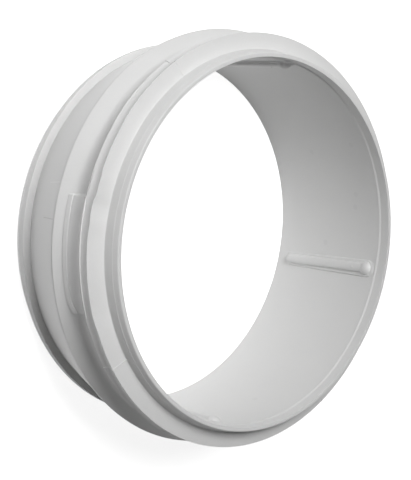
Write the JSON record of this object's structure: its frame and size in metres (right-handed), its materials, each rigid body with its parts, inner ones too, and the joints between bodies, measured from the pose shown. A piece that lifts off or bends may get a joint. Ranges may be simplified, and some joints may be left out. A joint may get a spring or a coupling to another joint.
{
  "type": "duct collar ring",
  "caption": "Moulded one-piece collar ring that grips the end of a round duct with half-round ribs inside, with a flanged spigot, an outer groove and a tapered channel.",
  "frame": {"origin": "centre of the rear rim's end face, on the ring's axis", "axes": "+Z along the ring's axis from the rear rim to the front rim, +X through one of the four inner ribs"},
  "size_m": [0.1804, 0.1804, 0.068],
  "materials": {
    "moulding": "smooth pale grey moulded plastic, satin"
  },
  "bodies": {
    "root": {"duct_collar": "moulding"}
  },
  "joints": []
}
